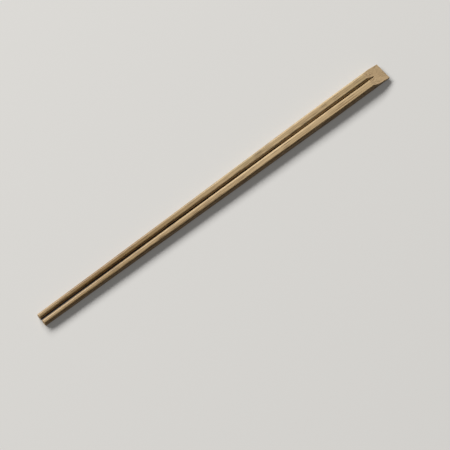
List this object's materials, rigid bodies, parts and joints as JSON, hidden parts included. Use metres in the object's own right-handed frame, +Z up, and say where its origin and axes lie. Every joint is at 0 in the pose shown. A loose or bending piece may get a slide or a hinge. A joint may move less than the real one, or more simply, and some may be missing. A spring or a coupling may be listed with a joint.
{
  "type": "bamboo chopsticks",
  "caption": "Joined bamboo chopsticks for one meal: slim tapering sticks with rounded edges, parted by a slit that stops short of a slant-cut head, to be snapped apart before eating.",
  "frame": {"origin": "centre of the bounding box's underside, on the surface that the chopsticks lie on", "axes": "+X along the sticks towards the joined head, +Y across the sticks, +Z up, out of the face that the slant is cut in"},
  "size_m": [0.24, 0.011, 0.0047],
  "materials": {
    "carbonised_bamboo": "planed and tumbled, satin, fine lengthwise fibres"
  },
  "bodies": {
    "root": {"chopstick_pair": "carbonised_bamboo"}
  },
  "joints": []
}
